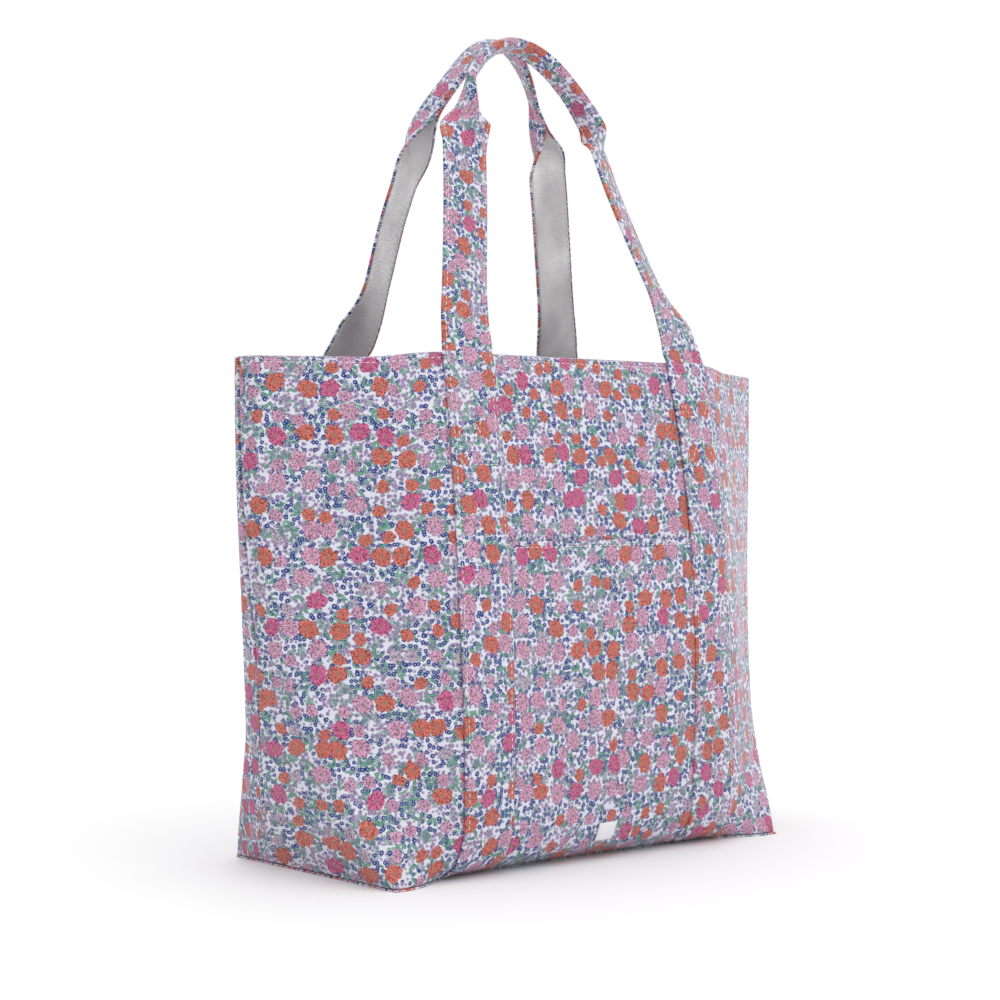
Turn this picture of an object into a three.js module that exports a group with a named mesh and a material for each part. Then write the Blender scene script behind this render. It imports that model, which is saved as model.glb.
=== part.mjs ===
// Large foldable tote bag, standing open and empty on its boxed base.
// Millimetres. +X is the bag's right as seen from its front, +Y points to its back and +Z up.
// The origin is the middle of the underside. The front, with its pocket and label, faces -Y.
import * as THREE from 'three';
import { mergeVertices } from 'three/addons/utils/BufferGeometryUtils.js';

// Body
const HEIGHT = 380;
const BASE_HALF_WIDTH = 198;
const BASE_HALF_DEPTH = 100;
const RIM_HALF_WIDTH = 258;
const RIM_HALF_DEPTH = 75;
const RIM_END_HALF_WIDTH = 12;
const RIM_END_DROP = 7;
const BELLY_RISE = 12;
const END_FLARE_POWER = 2.4;
const GUSSET_TAPER_POWER = 3.3;

// Cloth layers
const GAP = 0.3;
const CLOTH = 1.2;
const LINING = 0.8;
const LINING_GAP = 0.4;
const BOARD = 2.0;
const LINING_FLOOR_INSET = 9;
const BOARD_END_INSET = 13;
const BOARD_SIDE_INSET = 26;
const HEM_HEIGHT = 30;
const POCKET_CLOTH = 1.0;
const POCKET_HEIGHT = 242;
const LABEL_WIDTH = 17;
const LABEL_HEIGHT = 14;
const LABEL_CLOTH = 0.6;
const LABEL_Z = 15;

// Straps and handles
const STRAP_WIDTH = 46;
const STRAP_X = 116;
const STRAP_LAYER = 1.0;
const STRAP_START = 2;
const HANDLE_RISE = 241;
const HANDLE_TOP_Y = 12.8;
const FOLD_ANGLE = THREE.MathUtils.degToRad(90);
const FOLD_ARC = 4.5;
const PINCH_START = 0.298;
const PINCH_END = 0.345;
// Half of the handle's middle line, in its own leaning plane: across from the middle, and share
// of the rise.
const HANDLE_LINE = [
  [STRAP_X, 0],
  [101, 0.27],
  [88, 0.53],
  [74, 0.74],
  [53, 0.885],
  [27, 0.972],
  [0, 1],
];

// Fineness of the solids
const WALL_ROWS = 12;
const HEM_ROWS = 2;
const STRAP_ROWS = 20;
const POCKET_ROWS = 14;
const PATCH_COLUMNS = 4;
const HANDLE_STEPS = 44;
const HANDLE_COLUMNS = [-1, -0.2, -0.1, 0, 0.1, 0.2, 1];
const OUTLINE_STEPS = [3, 5, 6, 5, 3];
const MERGE_DISTANCE = 1e-4;
const LEVEL_SLOPE = 1e-9;

const STRAP_INNER_X = STRAP_X - STRAP_WIDTH / 2;
const STRAP_OUTER_X = STRAP_X + STRAP_WIDTH / 2;
const STRAP_THICKNESS = 2 * STRAP_LAYER + GAP;
const FRONT = -1;
const BACK = 1;

const bag = new THREE.Group();

function material(colour, roughness) {
  return new THREE.MeshStandardMaterial({ color: colour, roughness, metalness: 0 });
}

const printedCloth = () => material(0xd9b9c4, 0.55);
const greyWebbing = () => material(0xb9b4b6, 0.45);
const greyLining = () => material(0xa9a6ab, 0.6);
const stiffBoard = () => material(0x3a3a3c, 0.7);
const labelRibbon = () => material(0xf2f2f2, 0.6);

// The walls ----------------------------------------------------------------------------------

const rise = (z) => THREE.MathUtils.clamp(z / HEIGHT, 0, 1);

// Distance from the middle plane to the outside of the front or back wall between the straps.
function wallDepth(z) {
  const t = rise(z);
  const fall = BASE_HALF_DEPTH + BELLY_RISE - RIM_HALF_DEPTH;
  return BASE_HALF_DEPTH + BELLY_RISE * t - fall * t ** 3;
}

// Distance from the middle to the outside of the bag's ends, which flare quickly above the base.
function endReach(z) {
  const flare = 1 - (1 - rise(z)) ** END_FLARE_POWER;
  return BASE_HALF_WIDTH + (RIM_HALF_WIDTH - BASE_HALF_WIDTH) * flare;
}

// Half of the end's width, from the full base to the narrow side seam at the rim.
function endHalfWidth(z) {
  const taper = (1 - rise(z)) ** GUSSET_TAPER_POWER;
  return RIM_END_HALF_WIDTH + (BASE_HALF_DEPTH - RIM_END_HALF_WIDTH) * taper;
}

// The rim is highest between the straps and drops a little to the side seams.
function rimHeight(x) {
  const beyond = (Math.abs(x) - STRAP_OUTER_X) / (RIM_HALF_WIDTH - STRAP_OUTER_X);
  const s = THREE.MathUtils.clamp(beyond, 0, 1);
  return HEIGHT - RIM_END_DROP * s * s * (3 - 2 * s);
}

// One half of the bag's outline at a height, from the left side seam round to the right one,
// drawn for the back (+Y) and set in from the outside by an even distance.
function halfOutline(z, inset) {
  const end = endReach(z);
  const corner = endHalfWidth(z);
  const wall = wallDepth(z);
  const run = new THREE.Vector2(end - STRAP_OUTER_X, wall - corner);
  const slope = run.y / run.x;
  const lean = Math.sqrt(1 + slope * slope);
  const insetEnd = end - inset;
  const insetWall = wall - inset;
  const slantAt = (x) => wall - slope * (x - STRAP_OUTER_X) - inset * lean;
  const shift = Math.abs(slope) < LEVEL_SLOPE ? 0 : (inset * (lean - 1)) / slope;
  const right = [
    new THREE.Vector2(STRAP_OUTER_X - shift, insetWall),
    new THREE.Vector2(insetEnd, slantAt(insetEnd)),
    new THREE.Vector2(insetEnd, GAP / 2),
  ];
  const left = right.map((p) => new THREE.Vector2(-p.x, p.y)).reverse();
  return [...left, ...right];
}

const OUTLINE_COLUMNS = OUTLINE_STEPS.reduce((sum, n) => sum + n, 0);

// The point a number of columns along a half outline, each straight stretch in equal steps.
function alongOutline(z, inset, column) {
  const corners = halfOutline(z, inset);
  let left = Math.round(column);
  for (let i = 0; i < OUTLINE_STEPS.length; i++) {
    if (left <= OUTLINE_STEPS[i]) {
      return corners[i].clone().lerp(corners[i + 1], left / OUTLINE_STEPS[i]);
    }
    left -= OUTLINE_STEPS[i];
  }
  return corners[corners.length - 1];
}

// A box with its three unit directions bent to any shape: place(u, v, w) gives each point.
function bentBox(columns, rows, place) {
  const box = new THREE.BoxGeometry(1, 1, 1, columns, rows, 1);
  box.deleteAttribute('normal');
  box.deleteAttribute('uv');
  const geometry = mergeVertices(box, MERGE_DISTANCE);
  matchDiagonals(geometry);
  const point = geometry.getAttribute('position');
  for (let i = 0; i < point.count; i++) {
    const placed = place(point.getX(i) + 0.5, point.getY(i) + 0.5, point.getZ(i) + 0.5);
    point.setXYZ(i, placed.x, placed.y, placed.z);
  }
  if (signedVolume(geometry) < 0) {
    turnFaces(geometry);
  }
  geometry.computeVertexNormals();
  return geometry;
}

// The box's last face splits its cells along the other diagonal than the face opposite it.
// Splitting both the same way lets layers of cloth nest on each other without touching.
function matchDiagonals(geometry) {
  const index = geometry.getIndex();
  const lastFace = geometry.groups.at(-1);
  const cornersInCell = 6;
  for (let i = lastFace.start; i < lastFace.start + lastFace.count; i += cornersInCell) {
    const [a, b, d, c] = [0, 1, 2, 4].map((k) => index.getX(i + k));
    [a, b, c, a, c, d].forEach((corner, k) => index.setX(i + k, corner));
  }
}

function signedVolume(geometry) {
  const point = geometry.getAttribute('position');
  const index = geometry.getIndex();
  const [a, b, c] = [new THREE.Vector3(), new THREE.Vector3(), new THREE.Vector3()];
  let volume = 0;
  for (let i = 0; i < index.count; i += 3) {
    a.fromBufferAttribute(point, index.getX(i));
    b.fromBufferAttribute(point, index.getX(i + 1));
    c.fromBufferAttribute(point, index.getX(i + 2));
    volume += a.dot(b.cross(c)) / 6;
  }
  return volume;
}

function turnFaces(geometry) {
  const index = geometry.getIndex();
  for (let i = 0; i < index.count; i += 3) {
    const second = index.getX(i + 1);
    index.setX(i + 1, index.getX(i + 2));
    index.setX(i + 2, second);
  }
}

function addPiece(name, geometry, finish) {
  const mesh = new THREE.Mesh(geometry, finish);
  mesh.name = name;
  bag.add(mesh);
}

const BASE_TOP = CLOTH + GAP;
const LINING_INSET = CLOTH + LINING_GAP;

// The height of a row of the wall's grid, which every layer shares: the first rows reach up to
// the hem and the last ones cross it, following the rim.
function rowHeight(row, x) {
  const hemLow = rimHeight(x) - HEM_HEIGHT;
  if (row <= WALL_ROWS) {
    return THREE.MathUtils.lerp(BASE_TOP, hemLow, row / WALL_ROWS);
  }
  return THREE.MathUtils.lerp(hemLow, rimHeight(x), (row - WALL_ROWS) / HEM_ROWS);
}

// A layer of the front or back wall, from one side seam to the other and from its first row to
// its last: `inset` is how far its outer face lies inside the bag's outer face.
function wallLayer(side, inset, thickness, firstRow, lastRow, topTrim) {
  return bentBox(OUTLINE_COLUMNS, lastRow - firstRow, (u, v, w) => {
    const depth = inset + thickness * w;
    const column = u * OUTLINE_COLUMNS;
    const row = firstRow + (lastRow - firstRow) * v;
    const rimPoint = alongOutline(HEIGHT, 0, column);
    const z = rowHeight(row, rimPoint.x) - (v === 1 ? topTrim : 0);
    const p = alongOutline(z, depth, column);
    return new THREE.Vector3(p.x, side * p.y, z);
  });
}

function addWalls(side, name) {
  const top = WALL_ROWS + HEM_ROWS;
  addPiece(`${name}_panel`, wallLayer(side, 0, CLOTH, 0, top, 0), printedCloth());
  addPiece(`${name}_rim_hem`, wallLayer(side, LINING_INSET, LINING, WALL_ROWS, top, 0), printedCloth());
  addPiece(`${name}_lining`, wallLayer(side, LINING_INSET, LINING, 0, WALL_ROWS, GAP), greyLining());
}

// A flat rectangular layer of the base, set in from its ends and its long sides.
function baseLayer(endInset, sideInset, thickness, low) {
  const width = 2 * (BASE_HALF_WIDTH - endInset);
  const depth = 2 * (BASE_HALF_DEPTH - sideInset);
  return new THREE.BoxGeometry(width, depth, thickness).translate(0, 0, low + thickness / 2);
}

function addBase() {
  const liningLow = BASE_TOP + BOARD + GAP;
  const floor = baseLayer(LINING_FLOOR_INSET, LINING_FLOOR_INSET, LINING, liningLow);
  addPiece('base_panel', baseLayer(0, 0, CLOTH, 0), printedCloth());
  addPiece('base_board', baseLayer(BOARD_END_INSET, BOARD_SIDE_INSET, BOARD, BASE_TOP), stiffBoard());
  addPiece('base_lining', floor, greyLining());
}

// Cloth lying on the outside of the front or back wall between the ends.
function patch(side, [xLow, xHigh], [zLow, zHigh], offset, thickness, rows) {
  return bentBox(PATCH_COLUMNS, rows, (u, v, w) => {
    const x = THREE.MathUtils.lerp(xLow, xHigh, u);
    const z = THREE.MathUtils.lerp(zLow, zHigh, v);
    return new THREE.Vector3(x, side * (wallDepth(z) + offset + thickness * w), z);
  });
}

function addStraps(side, name) {
  const along = [STRAP_START, HEIGHT - GAP];
  const strap = (across) => patch(side, across, along, GAP, STRAP_THICKNESS, STRAP_ROWS);
  addPiece(`${name}_strap_left`, strap([-STRAP_OUTER_X, -STRAP_INNER_X]), printedCloth());
  addPiece(`${name}_strap_right`, strap([STRAP_INNER_X, STRAP_OUTER_X]), printedCloth());
}

function addPocket() {
  const reach = STRAP_INNER_X - GAP;
  const pocket = patch(FRONT, [-reach, reach], [STRAP_START, POCKET_HEIGHT], GAP, POCKET_CLOTH, POCKET_ROWS);
  addPiece('front_pocket', pocket, printedCloth());
  const edge = LABEL_WIDTH / 2;
  const off = GAP + POCKET_CLOTH + GAP;
  const label = patch(FRONT, [-edge, edge], [LABEL_Z, LABEL_Z + LABEL_HEIGHT], off, LABEL_CLOTH, 1);
  addPiece('front_label', label, labelRibbon());
}

// The handles --------------------------------------------------------------------------------

const RIM_TO_HANDLE = 2 * GAP;
const strapMiddleY = RIM_HALF_DEPTH + GAP + STRAP_THICKNESS / 2;

// The middle line of a handle, from the rim at the left strap over the top to the right one.
function handleCurve(side) {
  const start = HEIGHT + RIM_TO_HANDLE;
  const point = ([x, up]) =>
    new THREE.Vector3(
      x,
      side * THREE.MathUtils.lerp(strapMiddleY, HANDLE_TOP_Y, up),
      start + HANDLE_RISE * up,
    );
  const right = HANDLE_LINE.map(point);
  const left = right.slice(0, -1).map((p) => new THREE.Vector3(-p.x, p.y, p.z));
  return new THREE.CatmullRomCurve3([...left, ...right.reverse()], false, 'centripetal');
}

// The angle that each half of the strap is folded back by, at a share of the handle's length.
function foldAngle(along) {
  const fromEnd = Math.min(along, 1 - along);
  return FOLD_ANGLE * THREE.MathUtils.smoothstep(fromEnd, PINCH_START, PINCH_END);
}

// Where a point of the flat strap goes when its halves fold back from its middle: x is across
// and y is out of the strap's printed face. The fold is centred on the strap's middle line.
function foldedPoint(across, out, angle) {
  if (angle === 0) {
    return new THREE.Vector2(across, out);
  }
  const reach = Math.abs(across);
  const radius = FOLD_ARC / angle;
  const turned = angle * Math.min(reach / FOLD_ARC, 1);
  const straight = Math.max(reach - FOLD_ARC, 0);
  const x = (radius + out) * Math.sin(turned) + straight * Math.cos(angle);
  const y = (radius + out) * Math.cos(turned) - radius - straight * Math.sin(angle);
  return new THREE.Vector2(Math.sign(across) * x, y + (STRAP_WIDTH / 4) * Math.sin(angle));
}

// One layer of a handle: the printed cover on its outside, or the webbing on its inside.
function handleLayer(side, outside) {
  const curve = handleCurve(side);
  const lean = Math.atan2(strapMiddleY - HANDLE_TOP_Y, HANDLE_RISE);
  const outward = new THREE.Vector3(0, side * Math.cos(lean), Math.sin(lean));
  const columns = HANDLE_COLUMNS.length - 1;
  return bentBox(HANDLE_STEPS, columns, (u, v, w) => {
    const middle = curve.getPointAt(u);
    const forward = curve.getTangentAt(u);
    const sideways = new THREE.Vector3().crossVectors(forward, outward).normalize();
    if (u === 0 || u === 1) {
      sideways.set(u === 0 ? -side : side, 0, 0);
    }
    const across = (HANDLE_COLUMNS[Math.round(v * columns)] * STRAP_WIDTH) / 2;
    const p = foldedPoint(across, outside * (GAP / 2 + STRAP_LAYER * w), foldAngle(u));
    return middle.addScaledVector(sideways, p.x).addScaledVector(outward, p.y);
  });
}

function addHandle(side, name) {
  addPiece(`${name}_handle_cover`, handleLayer(side, 1), printedCloth());
  addPiece(`${name}_handle_webbing`, handleLayer(side, -1), greyWebbing());
}

addBase();
addWalls(FRONT, 'front');
addWalls(BACK, 'back');
addPocket();
addStraps(FRONT, 'front');
addStraps(BACK, 'back');
addHandle(FRONT, 'front');
addHandle(BACK, 'back');

export default bag;
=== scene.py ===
import math

import bmesh
import bpy
import numpy as np
from mathutils import Matrix, Vector, noise


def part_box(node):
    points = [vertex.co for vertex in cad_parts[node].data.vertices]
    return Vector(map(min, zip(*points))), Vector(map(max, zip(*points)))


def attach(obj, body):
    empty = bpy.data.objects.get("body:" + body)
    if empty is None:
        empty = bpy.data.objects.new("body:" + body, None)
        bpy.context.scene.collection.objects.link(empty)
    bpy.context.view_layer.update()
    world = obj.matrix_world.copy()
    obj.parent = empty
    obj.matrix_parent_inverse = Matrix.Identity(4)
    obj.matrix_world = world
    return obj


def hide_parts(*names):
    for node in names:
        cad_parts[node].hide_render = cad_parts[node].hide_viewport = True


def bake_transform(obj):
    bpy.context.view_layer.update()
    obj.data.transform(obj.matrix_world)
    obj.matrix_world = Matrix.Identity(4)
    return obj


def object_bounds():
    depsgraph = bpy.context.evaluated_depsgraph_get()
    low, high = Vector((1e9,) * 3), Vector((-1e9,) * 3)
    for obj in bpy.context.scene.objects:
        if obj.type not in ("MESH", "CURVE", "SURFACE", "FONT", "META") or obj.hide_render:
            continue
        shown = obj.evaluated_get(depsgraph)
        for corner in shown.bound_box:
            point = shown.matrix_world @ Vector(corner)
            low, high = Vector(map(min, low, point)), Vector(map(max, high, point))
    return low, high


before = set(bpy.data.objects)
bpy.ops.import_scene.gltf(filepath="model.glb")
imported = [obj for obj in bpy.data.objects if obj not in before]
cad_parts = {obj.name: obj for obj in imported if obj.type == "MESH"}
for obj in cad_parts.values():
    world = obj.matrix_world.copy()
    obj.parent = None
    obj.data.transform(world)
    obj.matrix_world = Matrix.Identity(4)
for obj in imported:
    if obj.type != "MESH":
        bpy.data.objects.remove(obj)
cad_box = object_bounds()

# --- Camera, light and floor -------------------------------------------------------------
# A long lens at the height of the bag's middle, to the left of its front, over a pale floor
# in soft light from large windows.

bag_top = cad_box[1].z
CAMERA_AZIMUTH = math.radians(-40.99)
CAMERA_ELEVATION = math.radians(0.45)
CAMERA_DISTANCE = 1.7265
CAMERA_SENSOR = 36.0
CAMERA_LENS = 79.1
camera_aim = Vector((-0.0091, 0.0079, 0.2712))

camera_back = Vector((
    math.sin(CAMERA_AZIMUTH) * math.cos(CAMERA_ELEVATION),
    -math.cos(CAMERA_AZIMUTH) * math.cos(CAMERA_ELEVATION),
    math.sin(CAMERA_ELEVATION),
))
camera = bpy.data.objects.new("camera", bpy.data.cameras.new("camera"))
camera.data.sensor_width = CAMERA_SENSOR
camera.data.lens = CAMERA_LENS
camera.location = camera_aim + camera_back * CAMERA_DISTANCE
camera.rotation_mode = "QUATERNION"
camera.rotation_quaternion = camera_back.to_track_quat("Z", "Y")
bpy.context.scene.collection.objects.link(camera)
bpy.context.scene.camera = camera


def linear(hex_colour):
    """An sRGB hex colour as the four linear numbers that a shader takes."""
    channels = [int(hex_colour[i:i + 2], 16) / 255 for i in (1, 3, 5)]
    return [c / 12.92 if c <= 0.04045 else ((c + 0.055) / 1.055) ** 2.4 for c in channels] + [1.0]


def add(kind, links=None, **settings):
    """Adds a node to the tree in hand: `links` gives its inputs, by name or number, as nodes
    (their first output), sockets or plain values."""
    made = tree.nodes.new("ShaderNode" + kind)
    for name, value in settings.items():
        setattr(made, name, value)
    for key, value in (links or {}).items():
        if isinstance(value, bpy.types.Node):
            value = value.outputs[0]
        if isinstance(value, bpy.types.NodeSocket):
            tree.links.new(value, made.inputs[key])
        else:
            made.inputs[key].default_value = value
    return made


def new_material(name):
    """An empty node material and its tree."""
    material = bpy.data.materials.new(name)
    material.use_nodes = True
    material.node_tree.nodes.clear()
    return material, material.node_tree


def new_object(name, bm, material):
    """A piece from a bmesh, smooth shaded, with its material."""
    mesh = bpy.data.meshes.new(name)
    bm.to_mesh(mesh)
    bm.free()
    mesh.materials.append(material)
    mesh.shade_smooth()
    made = bpy.data.objects.new(name, mesh)
    bpy.context.scene.collection.objects.link(made)
    return made


FLOOR_SIZE = 12.0
floor_finish, tree = new_material("pale_studio_floor")
add("OutputMaterial", {"Surface": add("BsdfPrincipled", {
    "Base Color": linear("#f7f7f7"), "Roughness": 0.75, "Specular IOR Level": 0.2})})
bm = bmesh.new()
bmesh.ops.create_grid(bm, x_segments=1, y_segments=1, size=FLOOR_SIZE / 2)
floor = new_object("floor", bm, floor_finish)

world = bpy.data.worlds.new("studio")
bpy.context.scene.world = world
world.use_nodes = True
tree = world.node_tree
tree.nodes["Background"].inputs["Color"].default_value = linear("#ffffff")
WORLD_LIGHT = 0.38
WORLD_GLOSS = 0.9
# The backdrop is lit to white: it lights the bag with part of that, and shines in its satins.
ray = add("LightPath").outputs
backdrop = add("MapRange", {
    "Value": ray["Is Glossy Ray"], "To Min": WORLD_LIGHT, "To Max": WORLD_GLOSS})
backdrop = add("Math", {0: backdrop, 1: ray["Is Camera Ray"]}, operation="MAXIMUM")
tree.links.new(backdrop.outputs[0], tree.nodes["Background"].inputs["Strength"])
bpy.context.scene.view_settings.view_transform = "Standard"

CEILING_SPREAD = math.radians(100)
CEILING_STRENGTH = 2.3
ceiling = bpy.data.lights.new("ceiling_softbox", "SUN")
ceiling.angle = CEILING_SPREAD
ceiling.energy = CEILING_STRENGTH
ceiling_place = bpy.data.objects.new("ceiling_softbox", ceiling)
bpy.context.scene.collection.objects.link(ceiling_place)


def add_window(name, place, size, watts):
    """A large soft square light that faces the bag."""
    light = bpy.data.lights.new(name, "AREA")
    light.size = size
    light.energy = watts
    made = bpy.data.objects.new(name, light)
    made.location = place
    made.rotation_mode = "QUATERNION"
    made.rotation_quaternion = (Vector(place) - Vector((0, 0, bag_top / 2))).to_track_quat("Z", "Y")
    bpy.context.scene.collection.objects.link(made)


add_window("window_front", place=(0.1, -2.8, 1.1), size=1.4, watts=12.5)
add_window("window_right", place=(2.3, 0.25, 0.3), size=1.4, watts=5)

# --- The bag's shape ---------------------------------------------------------------------
# One boxed tote, sewn from a front and a back that meet at the side seams. The cloth is cut
# straight, so its base is a full rectangle and its mouth closes towards the two seams.

panel_low, panel_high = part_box("front_panel")
base_low, base_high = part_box("base_panel")
strap_low, strap_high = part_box("front_strap_right")
HEIGHT = panel_high.z
BASE_TOP = panel_low.z
BASE_HALF_WIDTH = base_high.x
BASE_HALF_DEPTH = base_high.y
RIM_HALF_WIDTH = panel_high.x
STRAP_X = (strap_low.x + strap_high.x) / 2
STRAP_WIDTH = strap_high.x - strap_low.x
RIM_HALF_DEPTH = 0.075
RIM_END_HALF_WIDTH = 0.012
RIM_DROP = 0.0022
RIM_END_DROP = 0.0045
RIM_DROP_BY = 0.7
BELLY_RISE = 0.012
END_FLARE_POWER = 2.4
GUSSET_TAPER_POWER = 3.3
SHOULDER_X = strap_high.x
LEVELS = 96
SAMPLES = 361
CORNER_SOFTNESS = (0.0025, 0.020)
SOFT_FROM = 0.45
CORNER_SHARE = 0.3
# The smoothing tightens over this much before each seam, in smoothing widths and in metres.
TIGHT_FROM = (2.2, 0.02)
TIGHT_AT = 0.6
ROLL_HEIGHT = 0.042
ROLL_DEPTH = 0.019
ROLL_POWER = 2.2
ROLL_AT_ENDS = 0.12
ROLL_ENDS = (0.62, 0.93)
SEAM_HOLD = 0.25
SEAM_REACH = 0.29
CREASE_DRIFT = 0.055
CREASE_DRIFT_HEIGHT = 0.19
CREASE_DRIFT_POWER = 1.6
CREASE_OVERLAP = 0.0010
CREASE_RISE = 0.0012
CREASE_DEPTH = 0.0120
CREASE_WIDTH = 0.009
CREASE_NEAR = 0.0010
CREASE_FAR = 0.0062
UNDERLAP = 0.014
UNDERLAP_START = 0.9
CREASE_HEIGHTS = (0.03, 0.10)


def smooth_step(low, high, value):
    """0 below `low`, 1 above `high` and a smooth rise between."""
    t = min(max((value - low) / (high - low), 0.0), 1.0)
    return t * t * (3 - 2 * t)


def rounded_line(line, reach):
    """A half outline smoothed over a number of its points, as if it went on past its ends."""
    width = max(1, int(3 * reach))
    weight = np.exp(-0.5 * (np.arange(-width, width + 1) / reach) ** 2)
    weight /= weight.sum()
    mirrored = line * np.array([1, -1])
    padded = np.concatenate([mirrored[width:0:-1], line, mirrored[-2:-width - 2:-1]])
    return np.stack([np.convolve(padded[:, k], weight, mode="valid") for k in (0, 1)], axis=1)


def end_half_depth(t):
    """Half the depth of the bag's end at a share of its height."""
    return RIM_END_HALF_WIDTH + (BASE_HALF_DEPTH - RIM_END_HALF_WIDTH) * (1 - t) ** GUSSET_TAPER_POWER


def outline(z):
    """Half of the bag's outline at a height, from one side seam to the other, rounded as cloth
    rounds a corner: evenly spaced points (x, distance from the middle plane)."""
    t = min(max(z / HEIGHT, 0), 1)
    wall = BASE_HALF_DEPTH + BELLY_RISE * t - (BASE_HALF_DEPTH + BELLY_RISE - RIM_HALF_DEPTH) * t ** 3
    end = RIM_HALF_WIDTH - (RIM_HALF_WIDTH - BASE_HALF_WIDTH) * (1 - t) ** END_FLARE_POWER
    half_end = end_half_depth(t)
    left = [(-end, 0), (-end, half_end), (-SHOULDER_X, wall)]
    points = np.array(left + [(-x, y) for x, y in reversed(left)])
    lengths = np.concatenate([[0], np.cumsum(np.linalg.norm(np.diff(points, axis=0), axis=1))])
    even = np.linspace(0, lengths[-1], SAMPLES)
    line = np.stack([np.interp(even, lengths, points[:, k]) for k in (0, 1)], axis=1)
    crisp, full = CORNER_SOFTNESS
    soft = crisp + (full - crisp) * smooth_step(0.0, SOFT_FROM, t)
    spacing = even[1] - even[0]
    rounded = rounded_line(line, soft / spacing)
    tight = rounded_line(line, min(soft, CORNER_SHARE * half_end) / spacing)
    tight_from, tight_at = end - TIGHT_FROM[0] * soft - TIGHT_FROM[1], end - TIGHT_AT * soft
    near_end = np.array([[smooth_step(tight_from, tight_at, abs(x))] for x in line[:, 0]])
    return rounded * (1 - near_end) + tight * near_end, lengths[-1]


heights = np.linspace(0, HEIGHT, LEVELS)
outlines = [outline(z) for z in heights]
table_points = np.array([o[0] for o in outlines])
half_lengths = np.array([o[1] / 2 for o in outlines])
HALF_CLOTH = float(half_lengths.mean())


def rim_height(s):
    """The height of the rim at a place along it: lower towards the side seams."""
    dropped = smooth_step(SHOULDER_X, RIM_DROP_BY * half_lengths[-1], abs(s))
    return HEIGHT - RIM_DROP - RIM_END_DROP * dropped


SWELL = 0.0042
RIPPLE = 0.0016
RIPPLE_SCALE = 2.7
SWELLS_ACROSS = 1.9
SWELLS_UP = 1.5
HELD_SAG = 0.25
SAG_POWER = 0.6


def sag(side, share, z):
    """How far the cloth swells out or falls in: least at the foot and the rim, which hold it."""
    t = z / HEIGHT
    place = Vector((share * SWELLS_ACROSS + 7.3 * side, t * SWELLS_UP, 2.0 + side))
    swell = SWELL * noise.noise(place) + RIPPLE * noise.noise(place * RIPPLE_SCALE)
    free = math.sin(math.pi * min(max(t, 0.0), 1.0)) ** SAG_POWER
    return swell * (HELD_SAG + (1 - HELD_SAG) * free)


def on_cloth(side, share, z, out=0.0):
    """A point on the bag: side -1 is the front and 1 the back, share runs from -1 at the left
    seam to 1 at the right one, z is the height along the cloth and out is off its face."""
    # The seam at each end is a crease that drifts to the back as it goes down, and there the
    # back's edge runs on under the front's.
    creased = smooth_step(*CREASE_HEIGHTS, z)
    if side > 0:
        under = max(0.0, abs(share) - UNDERLAP_START) / (1 - UNDERLAP_START)
        share += math.copysign(UNDERLAP * creased * under, share)
    level = min(max(z / HEIGHT, 0), 1) * (LEVELS - 1)
    row = min(int(level), LEVELS - 2)
    column = (share + 1) / 2 * (SAMPLES - 1)
    col = min(max(int(column), 0), SAMPLES - 2)
    up, along = level - row, column - col
    cell = table_points[row:row + 2, col:col + 2]
    low_point = cell[0, 0] * (1 - along) + cell[0, 1] * along
    high_point = cell[1, 0] * (1 - along) + cell[1, 1] * along
    point = low_point * (1 - up) + high_point * up
    run = (cell[0, 1] - cell[0, 0]) * (1 - up) + (cell[1, 1] - cell[1, 0]) * up
    run = run / np.linalg.norm(run)
    normal = np.array([-run[1], run[0]])
    seam = 1 - abs(share)
    out += sag(side, share, z) * smooth_step(0.0, SEAM_HOLD, seam)
    from_seam = seam * SEAM_REACH
    lifted = creased * math.exp(-(from_seam / CREASE_WIDTH) ** 2)
    if side < 0:
        out += CREASE_RISE * lifted
    else:
        out -= CREASE_DEPTH * creased * (1 - smooth_step(CREASE_NEAR, CREASE_FAR, from_seam))
    point = point + normal * out
    rolled = max(0.0, 1 - z / ROLL_HEIGHT)
    flat = 1 - smooth_step(*ROLL_ENDS, abs(point[0]) / BASE_HALF_WIDTH)
    point = point - normal * ROLL_DEPTH * rolled ** ROLL_POWER * (ROLL_AT_ENDS + (1 - ROLL_AT_ENDS) * flat)
    t = min(max(z / HEIGHT, 0.0), 1.0)
    half_end = end_half_depth(t)
    drift = CREASE_DRIFT * max(0.0, 1 - z / CREASE_DRIFT_HEIGHT) ** CREASE_DRIFT_POWER
    y = side * point[1] + drift * max(0.0, 1 - abs(point[1]) / half_end)
    if side < 0:
        y += CREASE_OVERLAP * lifted
    return Vector((point[0], y, z))


def bent_grid(columns, rows, place, cloth_at):
    """A grid bent to a surface: place(u, v) gives each point, and cloth_at(u, v) where it lies
    on the flat cloth, which becomes its UV."""
    bm = bmesh.new()
    bmesh.ops.create_grid(bm, x_segments=columns, y_segments=rows, size=0.5, calc_uvs=True)
    cloth = bm.loops.layers.uv.verify()
    for each in bm.faces:
        for loop in each.loops:
            loop[cloth].uv = cloth_at(loop.vert.co.x + 0.5, loop.vert.co.y + 0.5)
    for vert in bm.verts:
        vert.co = place(vert.co.x + 0.5, vert.co.y + 0.5)
    return bm


def thicken(obj, thickness, offset):
    """Gives a sheet its cloth thickness."""
    solid = obj.modifiers.new("thickness", "SOLIDIFY")
    solid.thickness = thickness
    solid.offset = offset


def face(bm, direction):
    """Turns a sheet so that most of it faces a direction."""
    bm.normal_update()
    total = Vector()
    for each in bm.faces:
        total += each.normal * each.calc_area()
    if total.dot(Vector(direction)) < 0:
        bmesh.ops.reverse_faces(bm, faces=bm.faces)
    return bm


# --- The printed cloth -------------------------------------------------------------------
# Polyester weave, printed with small flowers on white and coated so that it has a soft satin
# gloss. The flowers are scattered by cells, a layer for each kind, on the cloth's own UV.

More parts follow.
